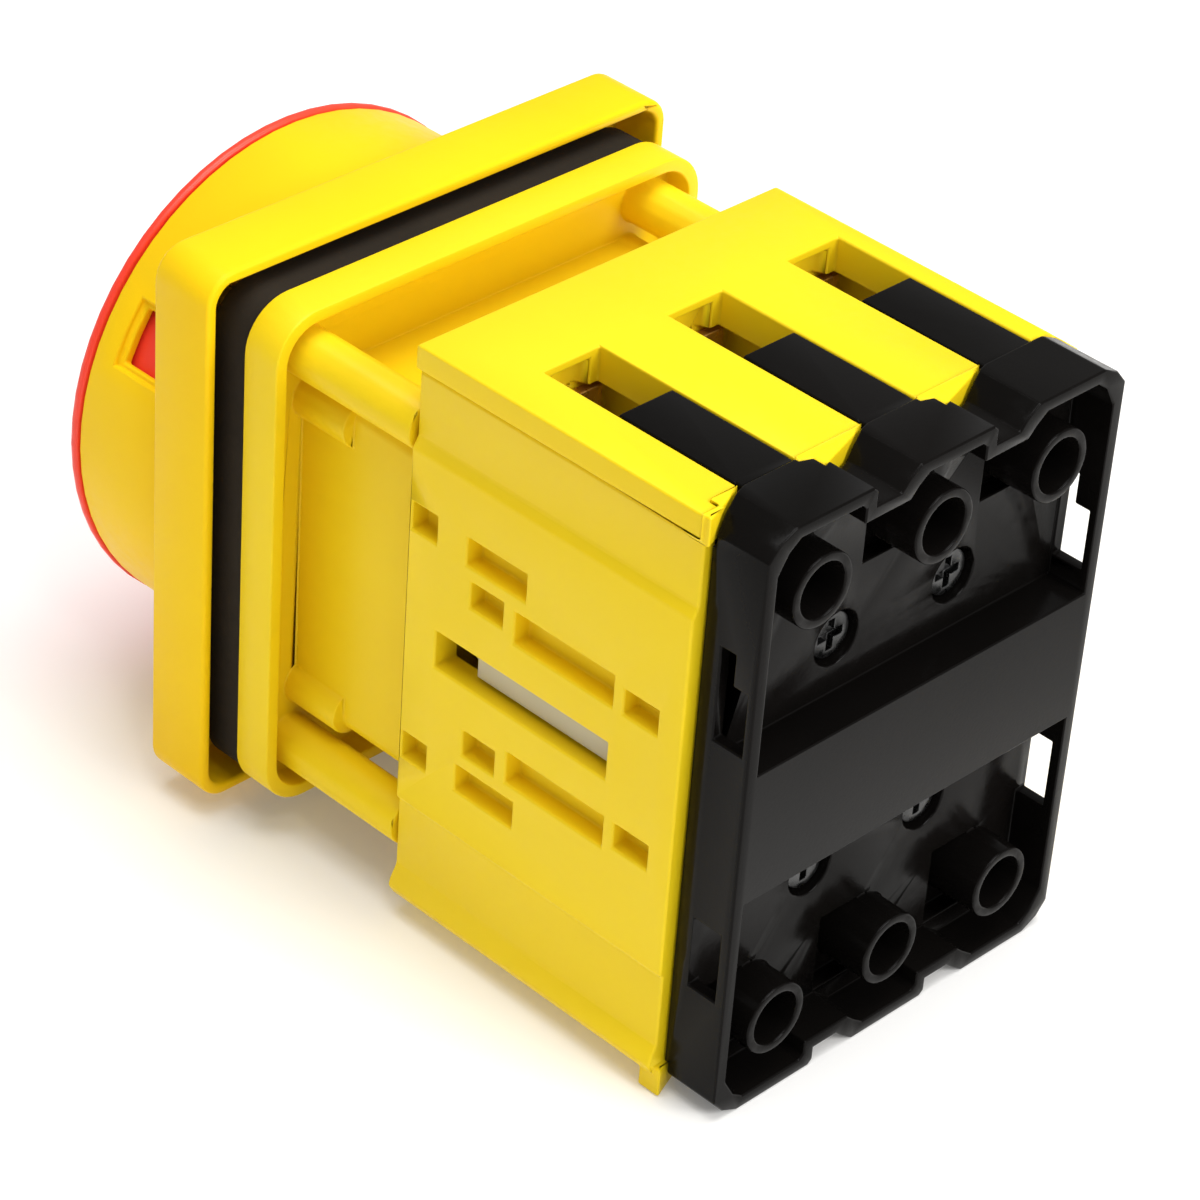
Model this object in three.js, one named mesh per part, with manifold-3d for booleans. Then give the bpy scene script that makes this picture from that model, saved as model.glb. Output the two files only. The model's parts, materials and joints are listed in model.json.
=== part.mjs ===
// Three-pole rotary isolator switch for panel mounting, in millimetres, +Z up.
//
// Inside the assembly group the handle turns about the Y axis and faces -Y, the terminal
// cover faces +Y, and y = 0 is the rear edge of the front plate. The group then lifts the
// switch so that it lies on z = 0 under the centre of its bounding box.

import * as THREE from 'three';
import { mergeVertices } from 'three/addons/utils/BufferGeometryUtils.js';
import Module from 'manifold-3d';

const wasm = await Module();
wasm.setup();

// ---------------------------------------------------------------- driving dimensions

const GAP = 0.3;                 // clearance between pieces that touch on the real switch
const POLE_PITCH = 16.75;
const POLES = [1, 0, -1];        // pole numbers 1, 2, 3 run from +X to -X
const TERMINAL_Z = 25.5;         // height of the terminal screws above and below the axis
const SCREW_PATTERN = 24;        // the panel screws sit at +-24, a 48 x 48 mm pattern

const PLATE_SIZE = 64;
const PLATE_DEPTH = 8.2;
const PLATE_WALL = 2;
const SKIRT_WALL = 1.3;

const COLLAR_RADIUS = 29.36;
const COLLAR_WALL = 1.96;
const COLLAR_FRONT = -23.5;
const LOCK_WINDOW_ANGLE = 29.5;  // degrees from +X towards +Z

const HANDLE_RADIUS = 29.4;
const HUB_RADIUS = 8.5;
const GRIP_FRONT = -32.9;
const SHAFT_SIDE = 8;

const FLANGE_SIZE = 59.4;
const FLANGE_FRONT = 2.9;
const SEAT_GROOVE = 3.3;         // bottom of the groove round the panel seat
const FLANGE_FLOOR = 4.5;
const FLANGE_REAR = 7.7;
const HOUSING_WIDTH = 46.2;
const HOUSING_HEIGHT = 39.8;
const BLOCK_FRONT = 24;          // front face of the contact block

const BLOCK_REAR = 62;           // rear edge of the block's two side walls
const FINGER_REAR = 60.7;        // rear edge of the block's top, bottom and inner walls
const FINGER_TIP = 63.2;
const BLOCK_TOP = 34.3;
const REST_Z = -34.4;            // the block and the terminal cover lie on this level
const CHAMBER_HALF = 6.6;
const CHAMBER_TOP = 30.2;
const SLOT_HALF = 3.75;          // half width of a wire slot
const SLOT_FRONT = 35.1;

const COVER_FRONT = 61;
const COVER_FLOOR = 64.3;
const COVER_REAR = 69.2;
const COVER_HALF = 25.1;
const COVER_TOP = 34.6;
const TONGUE_FRONT = 45;
const BEAM_HALF = 7.7;
const TUBE_RADIUS = 4.04;
const TUBE_BORE = 3;

const CONTACT_TRAVEL = 4;
const CARRIAGE_Z = 1.3;          // mid height of the contact carriage and its side window
const STACK_SCREW = { x: POLE_PITCH / 2, z: 13.9 };

const material = (color, roughness, metalness = 0) =>
  new THREE.MeshStandardMaterial({ color, roughness, metalness });
const YELLOW = material(0xf7cf12, 0.45);
const AMBER = material(0xf6bf1c, 0.45);
const RED = material(0xd9301f, 0.4);
const BLACK = material(0x1e1c1b, 0.3);
const RUBBER = material(0x242120, 0.85);
const GREY = material(0xb9b8ae, 0.5);
const STEEL = material(0xb8bcc0, 0.35, 1);
const BRASS = material(0xc9a14a, 0.35, 1);
const SILVER = material(0xd8d8d4, 0.3, 1);

// ---------------------------------------------------------------- solid helpers

function solid(geometry) {
  const bare = geometry.index ? geometry.toNonIndexed() : geometry.clone();
  bare.deleteAttribute('normal');
  bare.deleteAttribute('uv');
  const merged = mergeVertices(bare, 1e-4);
  const vertProperties = new Float32Array(merged.attributes.position.array);
  const triVerts = new Uint32Array(merged.index.array);
  return new wasm.Manifold(new wasm.Mesh({ numProp: 3, vertProperties, triVerts }));
}

const join = (...solids) => solids.reduce((sum, next) => sum.add(next));
const cut = (base, ...tools) => tools.reduce((rest, tool) => rest.subtract(tool), base);

function box(x0, x1, y0, y1, z0, z1) {
  const geometry = new THREE.BoxGeometry(x1 - x0, y1 - y0, z1 - z0);
  return solid(geometry.translate((x0 + x1) / 2, (y0 + y1) / 2, (z0 + z1) / 2));
}

// A cylinder or cone along Y, with its own radius at each end.
function coneY(frontRadius, rearRadius, y0, y1, x = 0, z = 0, sides = 32) {
  const geometry = new THREE.CylinderGeometry(rearRadius, frontRadius, y1 - y0, sides);
  return solid(geometry.translate(x, (y0 + y1) / 2, z));
}

const rodY = (radius, y0, y1, x = 0, z = 0, sides = 32) =>
  coneY(radius, radius, y0, y1, x, z, sides);

function rodX(radius, x0, x1, y = 0, z = 0, sides = 20) {
  const geometry = new THREE.CylinderGeometry(radius, radius, x1 - x0, sides);
  return solid(geometry.rotateZ(Math.PI / 2).translate((x0 + x1) / 2, y, z));
}

// Extrudes an outline drawn in (x, z) along Y, from y0 to y1.
function prismY(outline, y0, y1, bevel = 0) {
  const shape = Array.isArray(outline)
    ? new THREE.Shape(outline.map(([x, z]) => new THREE.Vector2(x, z)))
    : outline;
  const geometry = new THREE.ExtrudeGeometry(shape, {
    depth: y1 - y0 - bevel, curveSegments: 5, bevelEnabled: bevel > 0,
    bevelThickness: bevel, bevelSize: bevel, bevelOffset: -bevel, bevelSegments: 2,
  });
  return solid(geometry.rotateX(Math.PI / 2).translate(0, y1, 0));
}

function roundedRect(width, height, radius) {
  const [w, h, r] = [width / 2, height / 2, radius];
  const shape = new THREE.Shape();
  shape.absarc(w - r, h - r, r, 0, Math.PI / 2);
  shape.absarc(r - w, h - r, r, Math.PI / 2, Math.PI);
  shape.absarc(r - w, r - h, r, Math.PI, 1.5 * Math.PI);
  shape.absarc(w - r, r - h, r, 1.5 * Math.PI, 2 * Math.PI);
  return shape;
}

// A coil spring along Y, from y0 to y1.
function coilY(y0, y1, coilRadius, wireRadius, turns) {
  class Helix extends THREE.Curve {
    getPoint(t, target = new THREE.Vector3()) {
      const angle = 2 * Math.PI * turns * t;
      const y = THREE.MathUtils.lerp(y0 + wireRadius, y1 - wireRadius, t);
      return target.set(coilRadius * Math.cos(angle), y, coilRadius * Math.sin(angle));
    }
  }
  const wire = new THREE.Shape().absarc(0, 0, wireRadius, 0, 2 * Math.PI);
  return solid(new THREE.ExtrudeGeometry(wire, {
    steps: Math.round(turns * 8), curveSegments: 2, extrudePath: new Helix(),
  }));
}

// Extrudes an outline drawn in (x, y) along Z, from z0 to z1.
function prismZ(outline, z0, z1) {
  const shape = new THREE.Shape(outline.map(([x, y]) => new THREE.Vector2(x, y)));
  const geometry = new THREE.ExtrudeGeometry(shape, { depth: z1 - z0, bevelEnabled: false });
  return solid(geometry.translate(0, 0, z0));
}

const corners = (x, z) => [[x, z], [-x, z], [-x, -z], [x, -z]];
const atCorners = (x, z, make) => corners(x, z).map(([cx, cz]) => make(cx, cz));

function mesh(name, body, look) {
  const { vertProperties, triVerts, numProp } = body.getMesh();
  const positions = new Float32Array(vertProperties.length / numProp * 3);
  for (let i = 0; i < positions.length; i += 1) {
    positions[i] = vertProperties[Math.floor(i / 3) * numProp + i % 3];
  }
  const geometry = new THREE.BufferGeometry();
  geometry.setAttribute('position', new THREE.BufferAttribute(positions, 3));
  geometry.setIndex(new THREE.BufferAttribute(new Uint32Array(triVerts), 1));
  const shown = new THREE.Mesh(geometry.toNonIndexed(), look.clone());
  shown.geometry.computeVertexNormals();
  shown.name = name;
  return shown;
}

// ---------------------------------------------------------------- front: plate, collar, handle

const SEAL_RADIUS = 9.75;
const SEAL_WIRE = 0.9;
const SEAL_Y = -5.85;

function frontPlate() {
  const inner = PLATE_SIZE - 2 * SKIRT_WALL;
  const back = PLATE_WALL - PLATE_DEPTH;
  const shell = cut(
    prismY(roundedRect(PLATE_SIZE, PLATE_SIZE, 3.5), -PLATE_DEPTH, 0),
    prismY(roundedRect(inner, inner, 2.4), back, 1),
  );
  const sealSeat = rodY(12.5, -PLATE_DEPTH, -3.5, 0, 0, 48);
  const sealGroove = rodY(
    SEAL_RADIUS + SEAL_WIRE + GAP, SEAL_Y - SEAL_WIRE - GAP, SEAL_Y + SEAL_WIRE + GAP, 0, 0, 48);
  const screwHoles = atCorners(SCREW_PATTERN, SCREW_PATTERN, (x, z) => join(
    rodY(1.75, -PLATE_DEPTH - 1, back + 1, x, z, 20),
    rodY(3.3, -PLATE_DEPTH - 1, -PLATE_DEPTH + 1, x, z, 24),
  ));
  return cut(
    join(shell, sealSeat), rodY(HUB_RADIUS + 0.4, -PLATE_DEPTH - 1, 0, 0, 0, 48), sealGroove, ...screwHoles);
}

function sealRing() {
  const ring = new THREE.TorusGeometry(SEAL_RADIUS, SEAL_WIRE, 6, 32);
  return solid(ring.rotateX(Math.PI / 2).translate(0, SEAL_Y, 0));
}

// The yellow cup round the handle, with two windows for a padlock's shackle.
function lockCollar() {
  const rear = -PLATE_DEPTH - GAP;
  const wall = cut(
    coneY(COLLAR_RADIUS - 0.12, COLLAR_RADIUS, COLLAR_FRONT, rear, 0, 0, 60),
    rodY(COLLAR_RADIUS - COLLAR_WALL, COLLAR_FRONT - 1, rear + 1, 0, 0, 60),
  );
  const turn = new THREE.Matrix4().makeRotationY(-THREE.MathUtils.degToRad(LOCK_WINDOW_ANGLE));
  const window = (halfWidth, x0, front) => {
    const hole = new THREE.BoxGeometry(2 * (COLLAR_RADIUS + 1), -11 - front, 2 * halfWidth);
    const through = solid(hole.translate(0, (front - 11) / 2, 0).applyMatrix4(turn));
    return x0 > 0 ? cut(through, rodY(x0, front - 1, -10, 0, 0, 48)) : through;
  };
  return cut(wall, window(3.1, 0, -19.7), window(3.8, COLLAR_RADIUS - 0.8, -20.4));
}

const SLIDER = { x0: 10, x1: 21.2, y0: -31, y1: -28, half: 3 };

function rotaryHandle() {
  const disc = join(
    rodY(HANDLE_RADIUS, -24.8, -23.8, 0, 0, 60),
    coneY(26.4, HANDLE_RADIUS, -26, -24.8, 0, 0, 60),
  );
  const skirt = cut(rodY(27, -24, -13, 0, 0, 60), rodY(25, -23.8, -12, 0, 0, 60));
  const grip = prismY(roundedRect(44, 13, 6.3), GRIP_FRONT, -25, 1.6);
  const hub = rodY(HUB_RADIUS, -25, -3, 0, 0, 48);
  const socket = SHAFT_SIDE / 2 + GAP;
  return cut(
    join(disc, skirt, hub, grip),
    box(-socket, socket, -19.3, 0, -socket, socket),
    rodY(1.9, -30, -19, 0, 0, 20),
    rodY(3.6, GRIP_FRONT - 1, -28.8, 0, 0, 24),
    box(SLIDER.x0 - 0.5, 26, SLIDER.y0 - GAP, SLIDER.y1 + GAP, -SLIDER.half - GAP, SLIDER.half + GAP),
  );
}

function lockSlider() {
  const bar = box(SLIDER.x0, SLIDER.x1, SLIDER.y0, SLIDER.y1, -SLIDER.half, SLIDER.half);
  return cut(bar, rodY(1.6, SLIDER.y0 - 1, SLIDER.y1 + 1, 18, 0, 20));
}

function handleScrew() {
  const screw = join(rodY(3.2, -31, -29.1, 0, 0, 24), rodY(1.6, -29.2, -10, 0, 0, 16));
  return cut(screw, crossRecess(-31, 1.1, 4.4, -1));
}

// Two crossed grooves in a screw's head; side is +1 where the head faces +Y.
function crossRecess(y, depth, length, side) {
  const [y0, y1] = side > 0 ? [y - depth, y + 1] : [y - 1, y + depth];
  const half = length / 2;
  const groove = 0.45;
  return join(box(-half, half, y0, y1, -groove, groove), box(-groove, groove, y0, y1, -half, half));
}

function driveShaft() {
  const half = SHAFT_SIDE / 2;
  return cut(box(-half, half, -19, 13.5, -half, half), rodY(1.9, -20, -9.5, 0, 0, 20));
}

function panelScrew() {
  const screw = join(rodY(2.9, -9, -7.5, 0, 0, 24), rodY(1.4, -7.6, 17.5, 0, 0, 16));
  return cut(screw, crossRecess(-9, 0.9, 4, -1));
}

// ---------------------------------------------------------------- flange, gasket, detent

function panelGasket() {
  const ring = cut(
    prismY(roundedRect(58.4, 58.4, 4.8), -2.6, FLANGE_FRONT - GAP),
    prismY(roundedRect(40, 40, 3), -4, 4),
  );
  return cut(ring, ...atCorners(SCREW_PATTERN, SCREW_PATTERN, (x, z) => rodY(1.8, -4, 4, x, z, 16)));
}

// The tray that clamps on the panel's rear, its four long screw posts and the housing
// in which the detent rotor turns.
function mountingFlange() {
  const rear = BLOCK_FRONT - GAP;
  const tray = cut(
    prismY(roundedRect(FLANGE_SIZE, FLANGE_SIZE, 5.4), FLANGE_FRONT, FLANGE_REAR),
    prismY(roundedRect(FLANGE_SIZE - 3, FLANGE_SIZE - 3, 4), FLANGE_FLOOR, FLANGE_REAR + 1),
  );
  const housing = prismY(roundedRect(HOUSING_WIDTH, HOUSING_HEIGHT, 2), FLANGE_FLOOR - 0.5, rear);
  const posts = atCorners(SCREW_PATTERN, SCREW_PATTERN, (x, z) =>
    rodY(2.77, FLANGE_FLOOR - 0.5, rear, x, z, 28));
  const bosses = atCorners(22, 17.6, (x, z) => rodY(2.6, FLANGE_FLOOR - 0.5, 12.1, x, z, 24));
  const cavity = box(-20.3, 20.3, 8.5, rear + 1, -17.2, 17.2);
  const stackPosts = atCorners(STACK_SCREW.x, STACK_SCREW.z, (x, z) => rodY(3, 8, rear, x, z, 24));
  const guides = corners(1, 1).map(([sx, sz]) => {
    const [z0, z1] = sz > 0 ? [11.9, 17.5] : [-17.5, -11.9];
    return sx > 0 ? box(2.9, 4.4, 8, 15.5, z0, z1) : box(-4.4, -2.9, 8, 15.5, z0, z1);
  });
  const shell = cut(join(tray, housing, ...posts, ...bosses), cavity);
  return cut(
    join(shell, ...stackPosts, ...guides),
    rodY(6.3, FLANGE_FRONT - 1, 9, 0, 0, 32),
    cut(rodY(19.4, FLANGE_FRONT - 1, SEAT_GROOVE, 0, 0, 48), rodY(18.8, 0, 6, 0, 0, 48)),
    ...atCorners(SCREW_PATTERN, SCREW_PATTERN, (x, z) => rodY(1.75, FLANGE_FRONT - 1, 19, x, z, 16)),
    ...atCorners(STACK_SCREW.x, STACK_SCREW.z, (x, z) => rodY(1.7, 10.5, rear + 1, x, z, 16)),
  );
}

const ROTOR = { radius: 10, front: 9, step: 14.4, rear: 23, tube: 8, bore: 5 };
const DRIVE_PIN_Y = 21;

// The star with four detent notches, and behind it the tube whose two helical slots draw
// the contact carriage forward by CONTACT_TRAVEL in a quarter turn.
function detentRotor() {
  const notchMiddle = (ROTOR.front + ROTOR.step) / 2;
  const reach = ROTOR.radius + 1.4;
  const notches = [[reach, 0], [-reach, 0], [0, reach], [0, -reach]].map(([x, z]) =>
    rodY(2.6, notchMiddle - 4, notchMiddle + 4, x, z, 20));
  const star = cut(rodY(ROTOR.radius, ROTOR.front, ROTOR.step, 0, 0, 48), ...notches);
  const tube = cut(
    rodY(ROTOR.tube, ROTOR.step - 0.1, ROTOR.rear, 0, 0, 36),
    rodY(ROTOR.bore, ROTOR.step + 0.2, ROTOR.rear + 1, 0, 0, 28),
  );
  const steps = 12;
  const helicalSlots = Array.from({ length: steps + 1 }, (_, i) => {
    const pin = new THREE.CylinderGeometry(1.45, 1.45, 2 * ROTOR.tube + 2, 12).rotateZ(Math.PI / 2);
    pin.rotateY(-Math.PI / 2 * i / steps).translate(0, DRIVE_PIN_Y - CONTACT_TRAVEL * i / steps, 0);
    return solid(pin);
  });
  const socket = SHAFT_SIDE / 2 + GAP;
  return cut(
    join(star, cut(tube, join(...helicalSlots))),
    box(-socket, socket, ROTOR.front - 1, 14, -socket, socket),
  );
}

const DETENT_Y = (ROTOR.front + ROTOR.step) / 2;
const PLUNGER = { nose: ROTOR.radius + 0.4, shoulder: 11.8, rear: 13.6 };

// Built along Y from the rotor outwards; its mesh is turned to lie along Z.
function detentPlunger() {
  return join(
    coneY(1, 2.5, PLUNGER.nose, PLUNGER.shoulder, 0, 0, 20),
    rodY(2.5, PLUNGER.shoulder, PLUNGER.rear, 0, 0, 20),
  );
}

// ---------------------------------------------------------------- contact block

const SIDE = { proud: 26.6, upper: 25.9, lip: 26.5, lower: 26.2 };

// Half of the block's section, from the top corner on +X down to the bottom; the other
// half is the same line turned by 180 degrees about the handle's axis.
const blockHalfSection = [
  [SIDE.lip, BLOCK_TOP], [SIDE.lip, 31.6], [25.4, 31.4], [SIDE.upper, 31], [SIDE.upper, 23.9],
  [SIDE.proud, 22.7], [SIDE.proud, -19.4], [SIDE.lower, -19.7], [SIDE.lower, -28.2],
  [26.9, -29.5], [27.2, -30.6], [26.6, -31.6], [23, REST_Z],
];

// Pockets in a side wall: y range, then the z range above and below the carriage window.
const sidePockets = [
  { y0: 24.5, y1: 28, z0: 12.2, z1: 15.4, hole: [26, 27.6] },
  { y0: 32.3, y1: 40.5, z0: 12, z1: 15.2 },
  { y0: 33.1, y1: 37.6, z0: 7.4, z1: 10.4, hole: [34, 36.4] },
  { y0: 39.3, y1: 52.8, z0: 6.5, z1: 10.2 },
  { y0: 54.3, y1: 58.9, z0: 6.5, z1: 9.4, hole: [55.4, 58] },
];

function sideOpenings(side) {
  const reach = (x0, x1) => (side > 0 ? [x0, x1] : [-x1, -x0]);
  const middle = side * CARRIAGE_Z;
  const floor = SIDE.proud - 2.2;
  const pockets = sidePockets.flatMap(({ y0, y1, z0, z1, hole }) => [1, -1].flatMap((up) => {
    const [low, high] = up > 0 ? [middle + z0, middle + z1] : [middle - z1, middle - z0];
    const pocket = box(...reach(floor, 28), y0, y1, low, high);
    return hole ? [pocket, box(...reach(22, 28), hole[0], hole[1], high - 2, high - 0.4)] : [pocket];
  }));
  return [...pockets, box(...reach(20, 28), 28.6, 52.6, CARRIAGE_Z - 2.1, CARRIAGE_Z + 2.2)];
}

// The walls between the wire slots end in slanted tips that lie over the cover's valleys.
// With grow > 0 this gives the room that the terminal cover leaves for them.
function fingerTips(grow) {
  const slant = (x0, x1) => [
    [x0 - grow, 60], [x0 - grow, FINGER_REAR + grow], [x1 - 1.4 + grow, FINGER_TIP + grow],
    [x1 - 1.4 + grow, FINGER_REAR + 1 + grow], [x1 + grow, FINGER_REAR + 0.5 + grow], [x1 + grow, 60],
  ];
  const inner = [0, 1].map((gap) => {
    const slotEdge = -POLE_PITCH * gap;
    return slant(slotEdge + SLOT_HALF, slotEdge + POLE_PITCH - SLOT_HALF);
  });
  const outer = [
    [POLE_PITCH + SLOT_HALF - grow, 60], [POLE_PITCH + SLOT_HALF - grow, FINGER_REAR + grow],
    [26.3 + grow, FINGER_TIP - 0.3 + grow], [26.3 + grow, 60],
  ];
  const z0 = 31 - grow;
  const tips = [...inner, outer].flatMap((line) => [
    prismZ(line, z0, grow > 0 ? 40 : BLOCK_TOP - 0.05),
    prismZ(line, grow > 0 ? -40 : REST_Z + 0.05, -z0),
  ]);
  return join(...tips);
}

function contactBlockBody() {
  const halves = [...blockHalfSection, ...blockHalfSection.map(([x, z]) => [-x, z === REST_Z ? -z - 0.1 : -z])];
  const outline = halves.map(([x, z]) => [x, z === -BLOCK_TOP ? REST_Z : z]);
  const front = BLOCK_FRONT - 1;
  const rear = BLOCK_REAR + 1;
  const chambers = POLES.flatMap((pole) => {
    const x = pole * POLE_PITCH;
    const [x0, x1] = [x - CHAMBER_HALF, x + CHAMBER_HALF];
    return [
      box(x0, x1, 26.4, rear, -14.5, 14.5),
      box(x0, x1, 33.7, rear, -CHAMBER_TOP, CHAMBER_TOP),
    ];
  });
  const screwPosts = atCorners(STACK_SCREW.x, STACK_SCREW.z, (x, z) => rodY(2.9, 26, FINGER_REAR, x, z, 20));
  const shell = join(cut(prismY(outline, BLOCK_FRONT, BLOCK_REAR), ...chambers), ...screwPosts);
  const wireSlots = POLES.flatMap((pole) => [1, -1].flatMap((up) => {
    const x = pole * POLE_PITCH;
    const [z0, z1] = up > 0 ? [CHAMBER_TOP - 0.2, 36] : [-36, 0.2 - CHAMBER_TOP];
    const funnel = new THREE.CylinderGeometry(2.7, 2.7, 3.2, 20).rotateX(Math.PI / 2);
    return [
      box(x - SLOT_HALF, x + SLOT_HALF, SLOT_FRONT, rear, z0, z1),
      solid(funnel.translate(x, SLOT_FRONT + 0.6, up * (CHAMBER_TOP + 1.4))),
      rodY(2.4, 26.9, 34, x, up * TERMINAL_Z, 16),
    ];
  }));
  const fingered = join(cut(shell, box(-24.3, 24.3, FINGER_REAR, rear, -40, 40)), fingerTips(0));
  return cut(
    fingered,
    ...wireSlots,
    box(-23.35, 23.35, 26.4, 56, CARRIAGE_Z - 2.3, CARRIAGE_Z + 2.3),
    ...sideOpenings(1), ...sideOpenings(-1),
    rodY(5.5, front, 27, 0, 0, 32),
    ...atCorners(STACK_SCREW.x, STACK_SCREW.z, (x, z) => rodY(1.7, front, rear, x, z, 16)),
  );
}

function contactCarriage() {
  const plate = box(-22.9, 22.9, 30.7, 55, CARRIAGE_Z - 1.6, CARRIAGE_Z + 1.6);
  const windows = POLES.map((pole) => {
    const x = pole * POLE_PITCH;
    return box(x - 4.6, x + 4.6, 41.2, 49, CARRIAGE_Z - 3, CARRIAGE_Z + 3);
  });
  const stem = rodY(4.2, 19, 33, 0, 0, 24);
  const ears = [1, -1].map((side) => {
    const [x0, x1] = side > 0 ? [22.8, 25] : [-25, -22.8];
    return box(x0, x1, 33, 52.3, CARRIAGE_Z - 1.6, CARRIAGE_Z + 1.6);
  });
  return cut(join(cut(plate, ...windows), stem, ...ears), rodX(1.3, -6, 6, DRIVE_PIN_Y));
}

const CONTACT_Z = 11;
const TIP_RADIUS = 2;

function contactBridge() {
  const tips = [CONTACT_Z, -CONTACT_Z].map((z) => rodY(TIP_RADIUS, 40.5, 41.6, 0, z, 16));
  return join(box(-4, 4, 41.5, 42.7, -13.2, 13.2), ...tips);
}

// ---------------------------------------------------------------- terminals

function fixedContact() {
  const strip = cut(
    box(-4.5, 4.5, 34, 35.2, 8.6, 29.8), rodY(2.3, 33, 36, 0, TERMINAL_Z, 16));
  return join(strip, rodY(TIP_RADIUS, 35.1, 36.2, 0, CONTACT_Z, 16));
}

function terminalClamp() {
  const [z0, z1] = [20.9, 29.8];
  const plate = box(-4.6, 4.6, 43.4, 44.9, z0, z1);
  const lips = [box(-4.6, -3.7, 42.1, 43.5, z0, z1), box(3.7, 4.6, 42.1, 43.5, z0, z1)];
  return cut(join(plate, ...lips), rodY(2.3, 42, 46, 0, TERMINAL_Z, 16));
}

function terminalScrew() {
  const screw = join(
    rodY(2, 33.6, 45.3, 0, TERMINAL_Z, 16),
    rodY(3.4, 45.2, 47.4, 0, TERMINAL_Z, 24),
    coneY(3.4, 2.6, 47.4, 48.2, 0, TERMINAL_Z, 24),
  );
  return cut(screw, crossRecess(48.2, 1.4, 4.6, 1).translate(0, 0, TERMINAL_Z));
}

// ---------------------------------------------------------------- terminal cover

// The outer line of the cover, or with inset > 0 the inner line of its rim. Over each pole
// it rises to a plateau that has a sloping shoulder on +X and a straight one on -X.
function coverOutline(inset) {
  const [side, top, bottom] = [COVER_HALF - inset, COVER_TOP - inset, REST_Z + inset];
  const edge = (up) => {
    const height = up > 0 ? top : -bottom;
    const valley = 32.4 - inset;
    const line = [[side, height - 2.6 - inset / 2], [side - 1.4, height - 1]];
    POLES.forEach((pole) => {
      const x = pole * POLE_PITCH;
      const shoulder = pole === 1 ? 21.6 - inset / 2 : x + 4.8 - inset;
      if (pole < 1) line.push([x + 7.3 - inset, valley], [x + 6.3 - inset, height - 1.1]);
      line.push([shoulder, height]);
      if (pole > -1) line.push([x - 5.5 + inset, height], [x - 6.1 + inset, height - 0.5], [x - 6.1 + inset, valley]);
    });
    line.push([inset / 2 - 21.6, height], [1.4 - side, height - 1], [-side, height - 2.6 - inset / 2]);
    return line.map(([x, z]) => [x, up * z]);
  };
  return [...edge(1), ...edge(-1).reverse()];
}

function coverWindows() {
  return [1, -1].flatMap((side) => {
    const wall = side > 0 ? [22, 26] : [-26, -22];
    return [
      box(...wall, 64.5, 68.2, 10, 17),
      box(...wall, 64.5, 66.3, 16, 20.5),
      box(...wall, 64.3, 67.9, -19.6, -11.4),
    ];
  });
}

function terminalCover() {
  const outer = coverOutline(0);
  const rim = prismY(outer, BLOCK_REAR + GAP, COVER_REAR);
  const insert = prismY(outer, COVER_FRONT, BLOCK_REAR + 1).intersect(box(-24, 24, 60, 64, -40, 40));
  const hollow = prismY(coverOutline(1.45), COVER_FLOOR, COVER_REAR + 1);
  const beam = box(-26, 26, 60, 71, -BEAM_HALF, BEAM_HALF);
  const terminals = POLES.flatMap((pole) => [1, -1].map((up) => [pole * POLE_PITCH, up]));
  const pockets = terminals.map(([x, up]) => {
    const [z0, z1] = up > 0 ? [21.5, 30.6] : [-30.6, -21.5];
    return box(x - 1, x + 5.7, 62.4, COVER_FLOOR + 1, z0, z1);
  });
  const tubes = terminals.map(([x, up]) => rodY(TUBE_RADIUS, 51, COVER_REAR - 0.25, x, up * TERMINAL_Z, 36));
  const tongues = terminals.map(([x, up]) => {
    const [z0, z1] = up > 0 ? [30.6, BLOCK_TOP] : [REST_Z + 0.1, -30.6];
    return box(x - SLOT_HALF + 0.2, x + SLOT_HALF - 0.2, TONGUE_FRONT, COVER_FRONT + 0.5, z0, z1);
  });
  return cut(
    join(cut(join(rim, insert), cut(hollow, beam), ...pockets), ...tubes, ...tongues),
    ...terminals.map(([x, up]) => rodY(TUBE_BORE, 50, COVER_REAR + 1, x, up * TERMINAL_Z, 28)),
    fingerTips(GAP),
    ...coverWindows(),
    ...atCorners(STACK_SCREW.x, STACK_SCREW.z, (x, z) => rodY(3, 61.9, COVER_REAR - 1.2, x, z, 24)),
    ...atCorners(STACK_SCREW.x, STACK_SCREW.z, (x, z) => rodY(1.7, 60, 63, x, z, 16)),
  );
}

function stackScrew() {
  const screw = join(rodY(2.6, 62.2, 63.5, 0, 0, 24), rodY(1.4, 12, 62.3, 0, 0, 16));
  return cut(screw, crossRecess(63.5, 0.8, 3.4, 1));
}

// ---------------------------------------------------------------- assembly

const assembly = new THREE.Group();
assembly.position.set(0, -(GRIP_FRONT + COVER_REAR) / 2, -REST_Z);

function place(name, body, look, x = 0, z = 0, turn = 0) {
  const part = mesh(name, body, look);
  part.position.set(x, 0, z);
  part.rotation.y = turn;
  assembly.add(part);
}

place('front_plate', frontPlate(), AMBER);
place('lock_collar', lockCollar(), AMBER);
place('shaft_seal', sealRing(), RUBBER);
place('panel_gasket', panelGasket(), RUBBER);
place('mounting_flange', mountingFlange(), YELLOW);
place('contact_block_body', contactBlockBody(), YELLOW);
place('terminal_cover', terminalCover(), BLACK);

place('rotary_handle', rotaryHandle(), RED);
place('handle_screw', handleScrew(), STEEL);
place('lock_slider', lockSlider(), RED);
place('drive_shaft', driveShaft(), STEEL);
place('detent_rotor', detentRotor(), GREY);
place('contact_carriage', contactCarriage(), GREY);
place('drive_pin', rodX(1, -7.6, 7.6, DRIVE_PIN_Y), STEEL);

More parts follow.
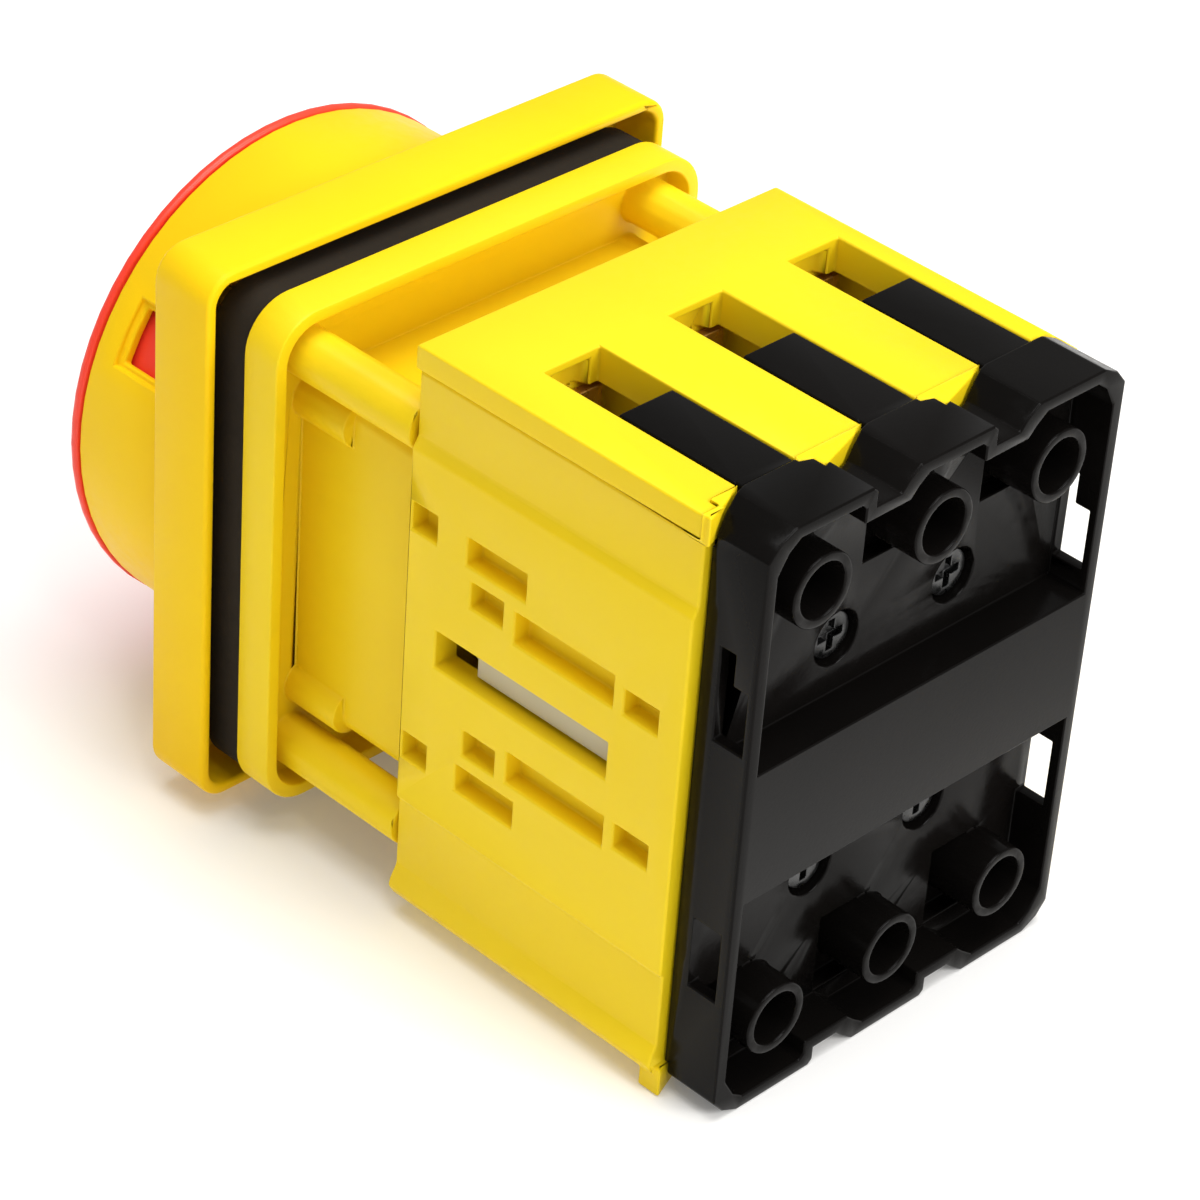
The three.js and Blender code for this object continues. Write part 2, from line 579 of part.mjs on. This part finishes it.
[['upper', 1], ['lower', -1]].forEach(([side, sign]) => {
  const arm = new THREE.Group();
  arm.position.y = DETENT_Y;
  arm.rotation.x = sign * Math.PI / 2;
  arm.add(mesh(`detent_plunger_${side}`, detentPlunger(), STEEL));
  arm.add(mesh(`detent_spring_${side}`, coilY(PLUNGER.rear + GAP, 16.9, 1.7, 0.3, 3), STEEL));
  assembly.add(arm);
});

POLES.forEach((pole, i) => {
  const x = pole * POLE_PITCH;
  place(`contact_bridge_${i + 1}`, contactBridge(), BRASS, x);
  place(`contact_spring_${i + 1}`, coilY(43, 48.7, 1.9, 0.35, 4.5), STEEL, x, CARRIAGE_Z);
  [['upper', 0], ['lower', Math.PI]].forEach(([row, turn]) => {
    place(`fixed_contact_${row}_${i + 1}`, fixedContact(), BRASS, x, 0, turn);
    place(`terminal_clamp_${row}_${i + 1}`, terminalClamp(), STEEL, x, 0, turn);
    place(`terminal_screw_${row}_${i + 1}`, terminalScrew(), SILVER, x, 0, turn);
  });
});

corners(1, 1).forEach(([sx, sz], i) => {
  place(`panel_screw_${i + 1}`, panelScrew(), STEEL, sx * SCREW_PATTERN, sz * SCREW_PATTERN);
  place(`stack_screw_${i + 1}`, stackScrew(), STEEL, sx * STACK_SCREW.x, sz * STACK_SCREW.z);
});

export default assembly;
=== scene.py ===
"""Looks for the rotary isolator switch: moulded plastics, metals, studio light and camera."""

import json
import math

import bmesh
import bpy
from mathutils import Matrix, Vector


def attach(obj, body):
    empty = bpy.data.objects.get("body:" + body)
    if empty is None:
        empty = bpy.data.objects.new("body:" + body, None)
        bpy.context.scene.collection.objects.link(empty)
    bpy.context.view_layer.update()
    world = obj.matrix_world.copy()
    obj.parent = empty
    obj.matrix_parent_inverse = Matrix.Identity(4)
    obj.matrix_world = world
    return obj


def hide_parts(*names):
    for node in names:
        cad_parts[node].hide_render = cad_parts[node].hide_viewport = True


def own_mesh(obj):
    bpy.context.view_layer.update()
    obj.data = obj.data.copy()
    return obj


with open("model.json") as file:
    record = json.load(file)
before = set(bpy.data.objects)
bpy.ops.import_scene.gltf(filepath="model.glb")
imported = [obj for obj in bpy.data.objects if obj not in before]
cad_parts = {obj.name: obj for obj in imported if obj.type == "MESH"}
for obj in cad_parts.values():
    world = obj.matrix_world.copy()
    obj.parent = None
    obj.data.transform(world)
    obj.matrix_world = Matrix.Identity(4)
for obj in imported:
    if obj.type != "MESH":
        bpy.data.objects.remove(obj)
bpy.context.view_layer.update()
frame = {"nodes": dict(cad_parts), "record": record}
MM = 0.001

NOISE_RANGE = (0.3, 0.7)         # nearly all of a noise texture's values lie between these
RELIEF_DEPTH = 0.02 * MM         # of a surface's fine grain
MERGE_DISTANCE = 0.002 * MM      # corners closer than this are one corner
FLAT_ANGLE = math.radians(0.6)   # faces that meet at less than this are one flat face
SHARP_ANGLE = math.radians(25)   # edges sharper than this are rounded
MOST_CORNERS = 8                 # a face with more corners is split into triangles


# ---------------------------------------------------------------- materials

def shader(name):
    """A new material, its Principled shader, and helpers that add nodes and links to it."""
    material = bpy.data.materials.new(name)
    material.use_nodes = True
    tree = material.node_tree

    def add(kind, **settings):
        node = tree.nodes.new(kind)
        for key, value in settings.items():
            if hasattr(node, key):
                setattr(node, key, value)
            else:
                node.inputs[key.replace("_", " ").title()].default_value = value
        return node

    return material, tree.nodes["Principled BSDF"], add, tree.links.new


def vary(add, link, scale, detail, low, high, stretch=(1, 1, 1)):
    """A noise over the object, mapped to the range from low to high."""
    place = add("ShaderNodeTexCoord")
    squeeze = add("ShaderNodeMapping")
    squeeze.inputs["Scale"].default_value = stretch
    noise = add("ShaderNodeTexNoise", scale=scale, detail=detail)
    spread = add("ShaderNodeMapRange")
    spread.inputs["From Min"].default_value = NOISE_RANGE[0]
    spread.inputs["From Max"].default_value = NOISE_RANGE[1]
    spread.inputs["To Min"].default_value = low
    spread.inputs["To Max"].default_value = high
    link(place.outputs["Object"], squeeze.inputs["Vector"])
    link(squeeze.outputs["Vector"], noise.inputs["Vector"])
    link(noise.outputs["Fac"], spread.inputs["Value"])
    return spread.outputs["Result"]


def tint(add, link, factor, first, second):
    """A colour between first and second by factor."""
    ramp = add("ShaderNodeValToRGB")
    ramp.color_ramp.elements[0].color = (*first, 1)
    ramp.color_ramp.elements[1].color = (*second, 1)
    link(factor, ramp.inputs["Fac"])
    return ramp.outputs["Color"]


def bump(add, link, height, strength):
    """A fine relief that follows height."""
    relief = add("ShaderNodeBump")
    relief.inputs["Strength"].default_value = strength
    relief.inputs["Distance"].default_value = RELIEF_DEPTH
    link(height, relief.inputs["Height"])
    return relief.outputs["Normal"]


def plastic(name, light, deep, roughness, glow=0.0, grain=0.25, shine=0.5):
    """Moulded plastic: faint flow streaks in its colour, and fine grain in its gloss and relief."""
    flow_scale, gloss_scale, grain_scale = 45, 700, 2600
    gloss_spread = 0.06
    material, skin, add, link = shader(name)
    streaks = vary(add, link, flow_scale, 3, 0, 1, stretch=(1, 0.4, 1))
    link(tint(add, link, streaks, light, deep), skin.inputs["Base Color"])
    gloss = vary(add, link, gloss_scale, 4, roughness - gloss_spread, roughness + gloss_spread)
    link(gloss, skin.inputs["Roughness"])
    link(bump(add, link, vary(add, link, grain_scale, 3, 0, 1), grain), skin.inputs["Normal"])
    skin.inputs["IOR"].default_value = 1.5
    skin.inputs["Specular IOR Level"].default_value = shine
    skin.inputs["Subsurface Weight"].default_value = glow
    skin.inputs["Subsurface Radius"].default_value = (1.0, 0.6, 0.1)
    skin.inputs["Subsurface Scale"].default_value = 1.2 * MM
    return material


def metal(name, light, deep, roughness, stretch=(1, 1, 1)):
    """Plated or rolled metal: drawn streaks in its gloss and a little tarnish in its colour."""
    tarnish_scale, streak_scale, relief_scale = 260, 900, 1800
    material, skin, add, link = shader(name)
    tarnish = vary(add, link, tarnish_scale, 4, 0, 1)
    link(tint(add, link, tarnish, light, deep), skin.inputs["Base Color"])
    streaks = vary(add, link, streak_scale, 3, roughness - 0.08, roughness + 0.1, stretch)
    link(streaks, skin.inputs["Roughness"])
    relief = vary(add, link, relief_scale, 2, 0, 1, stretch)
    link(bump(add, link, relief, 0.15), skin.inputs["Normal"])
    skin.inputs["Metallic"].default_value = 1.0
    return material


AMBER = plastic("amber_plastic", (0.96, 0.63, 0.006), (0.93, 0.58, 0.004), 0.40, glow=0.06, shine=0.10)
YELLOW = plastic("yellow_plastic", (0.91, 0.66, 0.009), (0.88, 0.62, 0.006), 0.42, glow=0.06, shine=0.2)
BLACK = plastic(
    "black_plastic", (0.005, 0.0042, 0.0038), (0.0034, 0.003, 0.0026), 0.20, grain=0.15, shine=0.07,
)
RED = plastic("red_plastic", (0.97, 0.062, 0.030), (0.91, 0.050, 0.024), 0.34, glow=0.05, shine=0.4)
GREY = plastic("grey_plastic", (0.55, 0.49, 0.33), (0.47, 0.42, 0.28), 0.45, glow=0.15, shine=0.4)
RUBBER = plastic("sealing_rubber", (0.024, 0.018, 0.012), (0.016, 0.012, 0.008), 0.75, grain=0.6, shine=0.15)
STEEL = metal("zinc_plated_steel", (0.62, 0.63, 0.65), (0.48, 0.49, 0.50), 0.30)
# Near-black steel for the stack screw heads. Its dark colour is painted shade: it stands in for the shade
# inside their deep recesses.
RECESS_SHADE_STEEL = metal("dark_steel_painted_recess_shade", (0.10, 0.10, 0.10), (0.05, 0.05, 0.05), 0.28)
BRASS = metal("rolled_brass", (0.72, 0.50, 0.20), (0.58, 0.38, 0.14), 0.32, stretch=(4, 1, 1))
NICKEL = metal("nickel_plate", (0.70, 0.69, 0.66), (0.56, 0.55, 0.52), 0.25)


# ---------------------------------------------------------------- pieces

# How a CAD node's name starts: its material, and the radius of its rounded edges in mm.
FINISHES = {
    "front_plate": (AMBER, 0.45),
    "lock_collar": (AMBER, 0.3),
    "rotary_handle": (RED, 0.35),
    "lock_slider": (RED, 0.3),
    "panel_gasket": (RUBBER, 0.5),
    "shaft_seal": (RUBBER, 0),
    "mounting_flange": (YELLOW, 0.2),
    "contact_block_body": (YELLOW, 0.28),
    "terminal_cover": (BLACK, 0.22),
    "detent_rotor": (GREY, 0.15),
    "contact_carriage": (GREY, 0.25),
    "contact_bridge": (BRASS, 0.15),
    "fixed_contact": (BRASS, 0.15),
    "terminal_clamp": (STEEL, 0.15),
    "terminal_screw": (NICKEL, 0.15),
    "contact_spring": (STEEL, 0),
    "detent_spring": (STEEL, 0),
    "detent_plunger": (STEEL, 0.2),
    "drive_pin": (STEEL, 0.1),
    "drive_shaft": (STEEL, 0.3),
    "handle_screw": (STEEL, 0.15),
    "panel_screw": (STEEL, 0.15),
    # The stack screws take the near-black steel whose dark colour is painted recess shade.
    "stack_screw": (RECESS_SHADE_STEEL, 0.12),
}
BODY_OF = {
    node: body
    for body, members in frame["record"]["behaviour"]["bodies"].items()
    for node in members
}


def clean_copy(node):
    """The CAD node's shape with its flat faces made whole, as a new mesh."""
    shape = bmesh.new()
    shape.from_mesh(frame["nodes"][node].data)
    bmesh.ops.remove_doubles(shape, verts=shape.verts, dist=MERGE_DISTANCE)
    bmesh.ops.dissolve_limit(
        shape, angle_limit=FLAT_ANGLE, verts=shape.verts, edges=shape.edges,
        use_dissolve_boundaries=False,
    )
    many_sided = [face for face in shape.faces if len(face.verts) > MOST_CORNERS]
    bmesh.ops.triangulate(shape, faces=many_sided, ngon_method="BEAUTY")
    for face in shape.faces:
        face.smooth = True
    mesh = bpy.data.meshes.new(node + "_shape")
    shape.to_mesh(mesh)
    shape.free()
    return mesh


def finish_node(node):
    """Replaces a CAD node by the same shape with rounded edges and its real material."""
    material, radius = next(v for k, v in FINISHES.items() if node.startswith(k))
    piece = bpy.data.objects.new(node + "_finished", clean_copy(node))
    bpy.context.scene.collection.objects.link(piece)
    piece.data.materials.clear()
    piece.data.materials.append(material)
    if radius:
        rounding = piece.modifiers.new("rounded edges", "BEVEL")
        rounding.width = radius * MM
        rounding.segments = 3
        rounding.limit_method = "ANGLE"
        rounding.angle_limit = SHARP_ANGLE
        rounding.use_clamp_overlap = False
        rounding.harden_normals = True
    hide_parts(node)
    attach(piece, BODY_OF[node])
    return piece


for node in sorted(frame["nodes"]):
    finish_node(node)

# The height in mm of the housing wall that each detent spring is squeezed against by its plunger; here each
# spring only gets its own copy of its mesh.
SPRING_WALLS = {"upper": 51.3, "lower": 17.5}

for side, wall in SPRING_WALLS.items():
    spring = bpy.data.objects[f"detent_spring_{side}_finished"]
    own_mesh(spring)


# ---------------------------------------------------------------- floor, light and camera

def floor():
    """A pale paper ground that glows a little, so that it stays white at its far end."""
    bpy.ops.mesh.primitive_grid_add(x_subdivisions=8, y_subdivisions=8, size=6)
    plane = bpy.context.object
    plane.name = "floor"
    material, skin, add, link = shader("pale_paper")
    paper = vary(add, link, 30, 3, 0, 1)
    link(tint(add, link, paper, (0.90, 0.89, 0.87), (0.88, 0.87, 0.85)), skin.inputs["Base Color"])
    skin.inputs["Roughness"].default_value = 0.8
    skin.inputs["Emission Color"].default_value = (1, 0.99, 0.97, 1)
    skin.inputs["Emission Strength"].default_value = 0.12
    plane.data.materials.append(material)


def softbox(name, place, size, power):
    """A square white lamp that faces the switch."""
    light = bpy.data.lights.new(name, "AREA")
    light.shape = "SQUARE"
    light.size = size
    light.energy = power
    lamp = bpy.data.objects.new(name, light)
    bpy.context.scene.collection.objects.link(lamp)
    lamp.location = place
    towards_switch = Vector((0, 0, 0.03)) - Vector(place)
    lamp.rotation_euler = towards_switch.to_track_quat("-Z", "Y").to_euler()


def studio():
    world = bpy.data.worlds.new("studio")
    world.use_nodes = True
    world.node_tree.nodes["Background"].inputs["Color"].default_value = (1, 1, 1, 1)
    world.node_tree.nodes["Background"].inputs["Strength"].default_value = 0.39
    bpy.context.scene.world = world
    bpy.context.scene.view_settings.view_transform = "Standard"
    softbox("overhead", (-0.03, 0.05, 1.1), 0.8, 10.5)
    softbox("rear_fill", (-0.25, 1.0, 0.6), 0.5, 8.5)
    softbox("glint", (0.35, 0.55, 0.9), 0.12, 0.7)


# The camera stands high behind the switch on its +X side.
CAMERA_PLACE = (0.2734, 0.26155, 0.2836)
CAMERA_RIGHT = Vector((-0.71044, 0.70093, 0.06307))
CAMERA_UP = Vector((-0.36013, -0.43908, 0.82311))


def camera():
    lens = bpy.data.cameras.new("camera")
    lens.lens = 130.87
    lens.sensor_width = 36
    lens.clip_start = 0.02
    body = bpy.data.objects.new("camera", lens)
    bpy.context.scene.collection.objects.link(body)
    back = CAMERA_RIGHT.cross(CAMERA_UP).normalized()
    turn = Matrix((CAMERA_RIGHT, CAMERA_UP, back)).transposed().to_4x4()
    body.matrix_world = Matrix.Translation(CAMERA_PLACE) @ turn
    bpy.context.scene.camera = body


floor()
studio()
camera()

bpy.context.view_layer.update()
